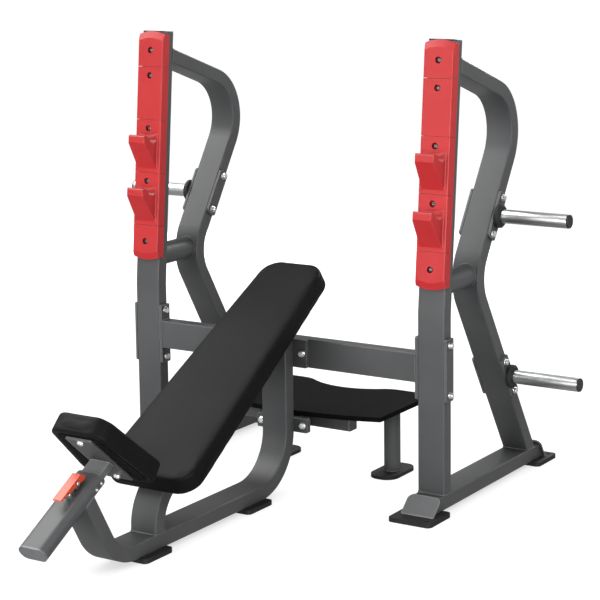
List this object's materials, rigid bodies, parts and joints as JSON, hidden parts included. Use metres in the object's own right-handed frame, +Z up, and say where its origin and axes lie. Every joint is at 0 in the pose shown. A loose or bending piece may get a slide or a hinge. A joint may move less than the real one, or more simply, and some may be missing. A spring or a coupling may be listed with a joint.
{
  "type": "incline bench press station",
  "caption": "Olympic incline bench press: S-braced uprights with moulded bar hooks, padded bench with sliding seat, plate storage horns and spotter platform.",
  "frame": {"origin": "middle of the overall box, on the floor", "axes": "+Z up; +Y from the seat end towards the uprights and the platform; +X to the right of someone who faces the bench from its seat end"},
  "size_m": [1.814, 2.1664, 1.572],
  "materials": {
    "grey_powder_coat": "dark grey fine-textured powder coat",
    "red_moulding": "red moulded plastic, satin",
    "black_plastic": "black moulded plastic",
    "black_rubber": "black rubber",
    "chrome": "bright chrome",
    "zinc": "bright zinc-plated steel",
    "black_upholstery": "black coated upholstery",
    "plywood": "plain plywood",
    "grey_plastic": "light grey plastic",
    "orange_lever": "orange-red coated metal",
    "black_moulding": "black moulded board, fine texture"
  },
  "bodies": {
    "frame": {"left_post": "grey_powder_coat", "right_post": "grey_powder_coat", "post_caps": "black_plastic", "left_brace": "grey_powder_coat", "right_brace": "grey_powder_coat", "left_link": "grey_powder_coat", "right_link": "grey_powder_coat", "left_base": "grey_powder_coat", "right_base": "grey_powder_coat", "base_end_plates": "grey_powder_coat", "upright_feet": "black_rubber", "left_upper_hook": "red_moulding", "left_lower_hook": "red_moulding", "right_upper_hook": "red_moulding", "right_lower_hook": "red_moulding", "rack_plain_covers": "red_moulding", "rack_end_covers": "red_moulding", "rack_screws": "zinc", "plate_horns": "chrome", "horn_collars": "black_rubber", "horn_caps": "black_plastic", "horn_flanges": "grey_powder_coat", "horn_backing_plates": "grey_powder_coat", "horn_bolts": "zinc", "crossbeam": "grey_powder_coat", "beam_end_plates": "grey_powder_coat", "beam_backing_plates": "grey_powder_coat", "beam_bolts": "zinc", "bench_tube": "grey_powder_coat", "pad_rail": "grey_powder_coat", "bench_mount_plate": "grey_powder_coat", "platform_mount_plate": "grey_powder_coat", "mount_bolts": "zinc", "pad_brackets": "grey_powder_coat", "pad_screws": "zinc", "pad_board": "plywood", "back_pad": "black_upholstery", "bench_feet": "black_rubber", "seat_sleeve": "grey_powder_coat", "sleeve_cap": "black_plastic", "sleeve_liner": "grey_plastic", "sleeve_screws": "zinc", "lever_bracket": "grey_powder_coat", "plunger_housing": "zinc", "lever_pin": "zinc", "platform_board": "black_moulding", "platform_frame": "grey_powder_coat", "crossbar_caps": "grey_plastic", "platform_legs": "grey_powder_coat", "leg_feet": "black_rubber"},
    "seat": {"seat_stem": "grey_powder_coat", "stem_glide": "black_plastic", "seat_plate": "grey_powder_coat", "seat_bolts": "zinc", "seat_board": "plywood", "seat_pad": "black_upholstery"},
    "lever": {"lever": "orange_lever"},
    "plunger": {"plunger": "zinc"}
  },
  "joints": [
    {"name": "seat_slide", "type": "slide", "parent": "frame", "child": "seat", "axis": [0, 0.866, 0.5], "range_m": [-0.05, 0.1]},
    {"name": "lever_hinge", "type": "hinge", "parent": "frame", "child": "lever", "pos_m": [0, -0.87449, 0.31511], "axis": [-1, 0, 0], "range_deg": [0, 12], "stiffness_Nm_per_rad": 1.5, "springref_deg": -5.73},
    {"name": "plunger_slide", "type": "slide", "parent": "frame", "child": "plunger", "axis": [0, -0.5, 0.866], "range_m": [0, 0.0083]}
  ],
  "couplings": [
    {"joint": "plunger_slide", "follows": "lever_hinge", "m_per_rad": 0.039}
  ]
}
